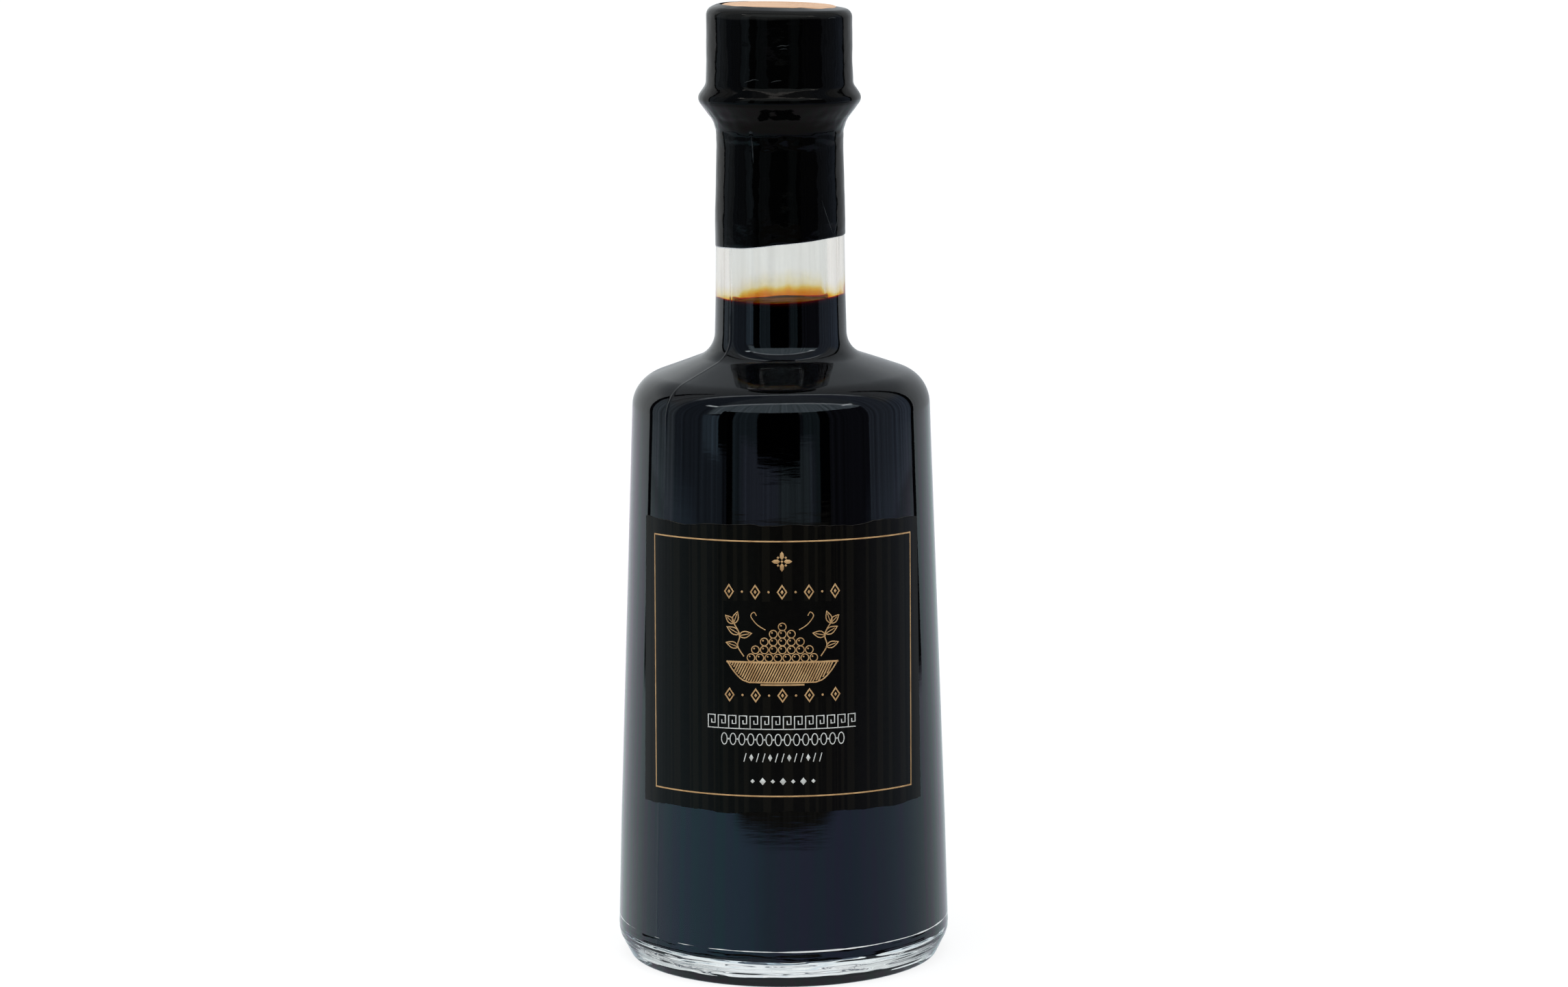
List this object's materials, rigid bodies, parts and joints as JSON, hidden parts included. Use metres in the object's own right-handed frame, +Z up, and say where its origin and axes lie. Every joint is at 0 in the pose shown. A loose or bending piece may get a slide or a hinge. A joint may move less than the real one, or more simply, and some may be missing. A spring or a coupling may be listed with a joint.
{
  "type": "vinegar bottle",
  "caption": "Stoppered clear glass bottle of dark vinegar, slightly conical, with a shrink capsule over the neck and a black paper label.",
  "frame": {"origin": "centre of the base, on the surface the bottle stands on", "axes": "+Z up along the bottle's axis; the label faces -Y; +X to the right seen from the front"},
  "size_m": [0.0654, 0.0654, 0.1883],
  "materials": {
    "clear_glass": "clear, gloss",
    "dark_vinegar": "dark brown liquid, nearly black",
    "light_wood": "turned, bare",
    "black_film": "black shrink film, gloss",
    "black_paper": "ribbed black paper with gold and white print"
  },
  "bodies": {
    "root": {"glass_bottle": "clear_glass", "vinegar": "dark_vinegar", "stopper": "light_wood", "capsule": "black_film", "front_label": "black_paper"}
  },
  "joints": []
}
